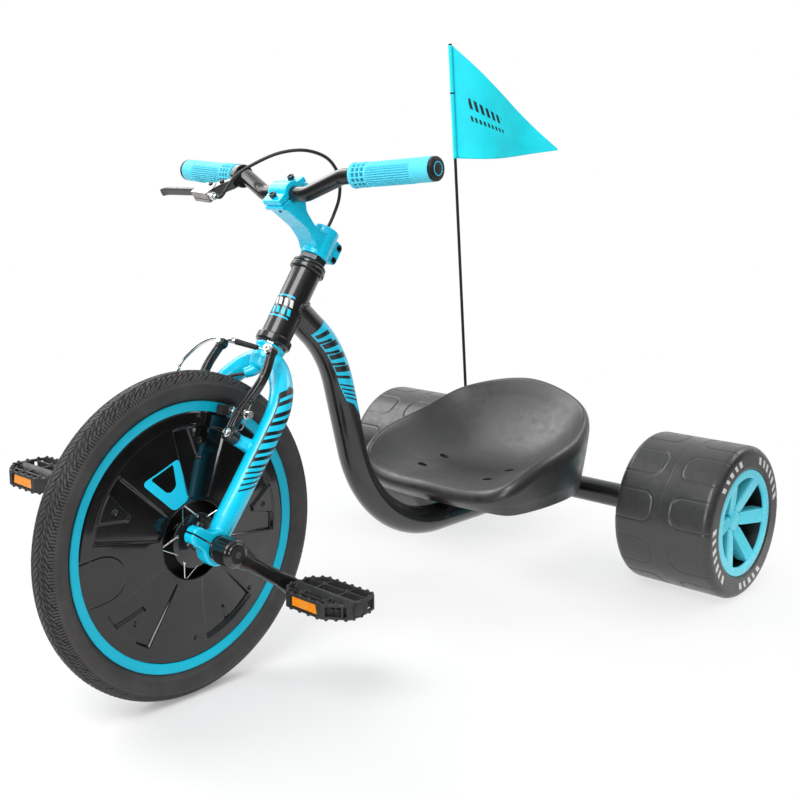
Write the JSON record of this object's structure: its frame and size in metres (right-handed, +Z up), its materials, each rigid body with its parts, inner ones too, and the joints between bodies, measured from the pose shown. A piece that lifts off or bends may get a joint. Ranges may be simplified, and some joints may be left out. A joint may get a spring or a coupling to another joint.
{
  "type": "drift trike",
  "caption": "Low drift trike with a pedalled front wheel and rim brake, raked fork, bent tube frame, bucket seat, wide hard rear wheels and a safety flag on a pole.",
  "frame": {"origin": "centre of the bounding box on the ground, in the trike's middle plane", "axes": "+Z up, -Y forward, +X to the rider's left"},
  "size_m": [0.7676, 1.195, 0.9226],
  "materials": {
    "black_paint": "gloss",
    "cyan_paint": "gloss",
    "steel": "bright",
    "dark_steel": "blackened, satin",
    "lever_alloy": "satin",
    "seat_plastic": "fine moulded grain",
    "black_plastic": "satin",
    "cover_plastic": "gloss",
    "cyan_plastic": "satin gloss",
    "sleeve_plastic": "smooth hard plastic",
    "cyan_rubber": "ribbed, matt",
    "black_rubber": "matt",
    "tyre_rubber": "fine slick tread",
    "flag_cloth": "light woven nylon"
  },
  "bodies": {
    "frame": {"frame": "black_paint", "upper_cup": "black_paint", "lower_cup": "black_paint", "upper_bearing": "steel", "lower_bearing": "steel", "rear_axle": "steel", "axle_nut": "steel", "seat": "seat_plastic", "seat_bolt_1": "dark_steel", "seat_bolt_2": "dark_steel", "seat_bolt_3": "dark_steel", "seat_bolt_4": "dark_steel", "flag_bracket": "black_paint", "flag_pole": "black_plastic", "flag": "flag_cloth"},
    "steering": {"fork": "cyan_paint", "adjusting_nut": "black_paint", "locknut": "dark_steel", "stem": "cyan_paint", "stem_cap": "cyan_paint", "stem_cap_bolt_front": "dark_steel", "stem_cap_bolt_rear": "dark_steel", "stem_pinch_bolt_upper": "dark_steel", "stem_pinch_bolt_lower": "dark_steel", "handlebar": "black_paint", "grip_left": "cyan_rubber", "grip_right": "cyan_rubber", "grip_cap_left": "black_plastic", "grip_cap_right": "black_plastic", "lever_bracket": "black_plastic", "barrel_adjuster": "steel", "brake_cable": "black_rubber", "axle_bearing_left": "steel", "axle_bearing_right": "steel"},
    "brake_lever": {"brake_lever": "lever_alloy"},
    "brake_arm_left": {"brake_arm_left": "black_paint", "brake_pad_left": "black_rubber"},
    "brake_arm_right": {"brake_arm_right": "black_paint", "brake_pad_right": "black_rubber", "cable_noodle": "steel"},
    "front_wheel": {"front_tyre": "tyre_rubber", "front_rim": "cyan_paint", "front_hub": "black_paint", "wheel_cover_left": "cover_plastic", "wheel_cover_right": "cover_plastic", "front_axle": "dark_steel", "crank_left": "black_paint", "crank_right": "black_paint", "pedal_spindle_left": "dark_steel", "pedal_spindle_right": "dark_steel"},
    "pedal_left": {"pedal_left": "black_plastic"},
    "pedal_right": {"pedal_right": "black_plastic"},
    "rear_wheel_left": {"rear_tyre_left": "sleeve_plastic", "rear_hub_left": "cyan_plastic", "rear_bearings_left": "steel", "rear_hub_cap_left": "cyan_plastic"},
    "rear_wheel_right": {"rear_tyre_right": "sleeve_plastic", "rear_hub_right": "cyan_plastic", "rear_bearings_right": "steel", "rear_hub_cap_right": "cyan_plastic"}
  },
  "joints": [
    {"name": "steering", "type": "hinge", "parent": "frame", "child": "steering", "pos_m": [0, -0.375, 0.2225], "axis": [0, 0.5807, 0.8141], "range_deg": [-40, 40]},
    {"name": "brake_squeeze", "type": "hinge", "parent": "steering", "child": "brake_lever", "pos_m": [-0.14678, -0.19615, 0.67234], "axis": [-0.0087, 0.5158, -0.8566], "range_deg": [0, 20], "stiffness_Nm_per_rad": 0.4, "springref_deg": -22.92},
    {"name": "brake_arm_left", "type": "hinge", "parent": "steering", "child": "brake_arm_left", "pos_m": [0.05, -0.32685, 0.35889], "axis": [0, -0.8141, 0.5807], "range_deg": [0, 3.2]},
    {"name": "brake_arm_right", "type": "hinge", "parent": "steering", "child": "brake_arm_right", "pos_m": [-0.05, -0.32685, 0.35889], "axis": [0, 0.8141, -0.5807], "range_deg": [0, 3.2]},
    {"name": "front_wheel_spin", "type": "hinge", "parent": "steering", "child": "front_wheel", "pos_m": [0, -0.375, 0.2225], "axis": [1, 0, 0], "continuous": true},
    {"name": "pedal_left_spin", "type": "hinge", "parent": "front_wheel", "child": "pedal_left", "pos_m": [0.17, -0.27653, 0.15304], "axis": [1, 0, 0], "continuous": true},
    {"name": "pedal_right_spin", "type": "hinge", "parent": "front_wheel", "child": "pedal_right", "pos_m": [-0.17, -0.47347, 0.29196], "axis": [1, 0, 0], "continuous": true},
    {"name": "rear_wheel_left_spin", "type": "hinge", "parent": "frame", "child": "rear_wheel_left", "pos_m": [0.2995, 0.472, 0.1255], "axis": [1, 0, 0], "continuous": true},
    {"name": "rear_wheel_right_spin", "type": "hinge", "parent": "frame", "child": "rear_wheel_right", "pos_m": [-0.2995, 0.472, 0.1255], "axis": [1, 0, 0], "continuous": true}
  ],
  "couplings": [
    {"joint": "brake_arm_left", "follows": "brake_squeeze", "ratio": 0.15},
    {"joint": "brake_arm_right", "follows": "brake_squeeze", "ratio": 0.15}
  ]
}
